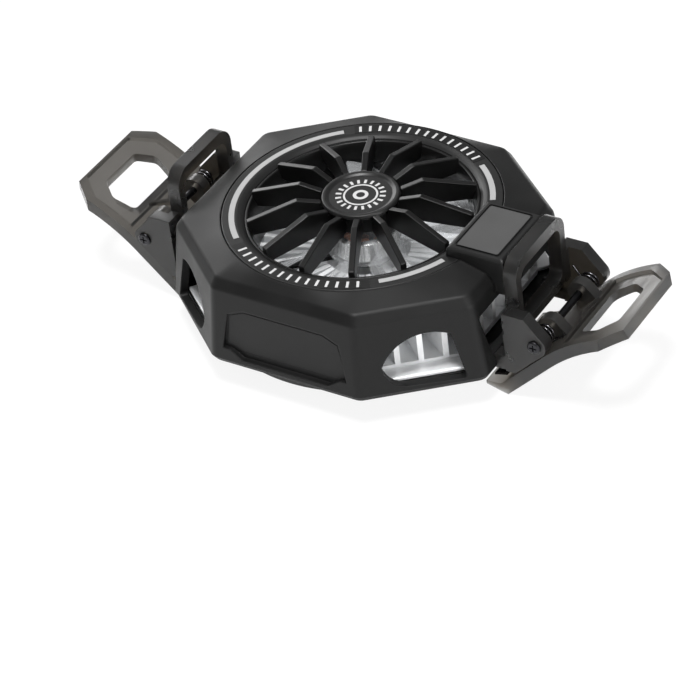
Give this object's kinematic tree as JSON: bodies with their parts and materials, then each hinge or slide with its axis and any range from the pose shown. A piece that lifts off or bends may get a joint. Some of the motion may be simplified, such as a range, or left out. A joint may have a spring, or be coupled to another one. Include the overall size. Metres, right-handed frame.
{
  "type": "phone cooling fan",
  "caption": "Clip-on phone cooler with an octagonal body, domed fan grille, display pod, finned heat sink, cold plate and two spring-closed claws with finger loops.",
  "frame": {"origin": "centre of the cold plate face that lies on the phone", "axes": "+Z away from the phone along the fan axis, +X towards the claw beside the display, +Y towards the inlet side"},
  "size_m": [0.1304, 0.0686, 0.0309],
  "materials": {
    "housing_plastic": "satin moulded black ABS",
    "bezel_plastic": "satin moulded black ABS",
    "grille_plastic": "fine matt black ABS",
    "medallion_plastic": "semi-gloss dark plastic",
    "pod_plastic": "semi-gloss black plastic",
    "display_window": "dark tinted glossy window",
    "circuit_board": "green solder mask",
    "light_diffuser": "milky white diffuser",
    "contact_rubber": "dark grey silicone",
    "cold_plate_metal": "fine turned aluminium",
    "ceramic": "white alumina ceramic",
    "foam": "closed-cell foam",
    "magnet": "nickel-plated magnet",
    "polished_aluminium": "polished aluminium",
    "brass_bush": "sintered bronze bush",
    "steel": "bright steel",
    "copper": "enamelled copper wire",
    "clear_plastic": "clear glossy polycarbonate",
    "tongue_plastic": "black liquid-crystal polymer",
    "smoke_plastic": "smoky dark translucent polycarbonate",
    "black_steel": "blackened steel",
    "pad_rubber": "black silicone rubber"
  },
  "bodies": {
    "cooler": {"base_cover": "housing_plastic", "base_magnets": "magnet", "base_screws": "black_steel", "bezel_ring": "bezel_plastic", "bracket_screws": "black_steel", "cold_plate": "cold_plate_metal", "contact_ring": "contact_rubber", "control_board": "circuit_board", "display_board": "circuit_board", "display_pod": "pod_plastic", "display_window": "display_window", "fan_board": "circuit_board", "fan_frame": "grille_plastic", "fan_grille": "grille_plastic", "grille_medallion": "medallion_plastic", "grille_screws": "black_steel", "heat_sink": "polished_aluminium", "heat_sink_screws": "black_steel", "housing": "housing_plastic", "inlet_shell": "steel", "inlet_tongue": "tongue_plastic", "insulation_ring": "foam", "led_board": "circuit_board", "left_bracket": "smoke_plastic", "left_hinge_pin": "black_steel", "light_strips": "light_diffuser", "motor_coils": "copper", "motor_stator": "steel", "peltier_module": "ceramic", "right_bracket": "smoke_plastic", "right_hinge_pin": "black_steel", "shaft_bearing": "brass_bush"},
    "fan": {"fan_impeller": "clear_plastic", "fan_shaft": "steel", "rotor_magnet": "magnet", "rotor_yoke": "steel"},
    "right_claw_arm": {"right_claw": "smoke_plastic", "right_front_spring": "black_steel", "right_jaw_pad": "pad_rubber", "right_rear_spring": "black_steel"},
    "left_claw_arm": {"left_claw": "smoke_plastic", "left_front_spring": "black_steel", "left_jaw_pad": "pad_rubber", "left_rear_spring": "black_steel"}
  },
  "joints": [
    {"name": "fan_spin", "type": "hinge", "parent": "cooler", "child": "fan", "pos_m": [0, 0, 0.0155], "axis": [0, 0, 1], "continuous": true},
    {"name": "right_claw_hinge", "type": "hinge", "parent": "cooler", "child": "right_claw_arm", "pos_m": [0.0463, 0, 0.0101], "axis": [0, -1, 0], "range_deg": [0, 35], "stiffness_Nm_per_rad": 0.15, "springref_deg": -34.38, "deforming": ["right_front_spring", "right_rear_spring"]},
    {"name": "left_claw_hinge", "type": "hinge", "parent": "cooler", "child": "left_claw_arm", "pos_m": [-0.0463, 0, 0.0101], "axis": [0, 1, 0], "range_deg": [0, 35], "stiffness_Nm_per_rad": 0.15, "springref_deg": -34.38, "deforming": ["left_front_spring", "left_rear_spring"]}
  ]
}
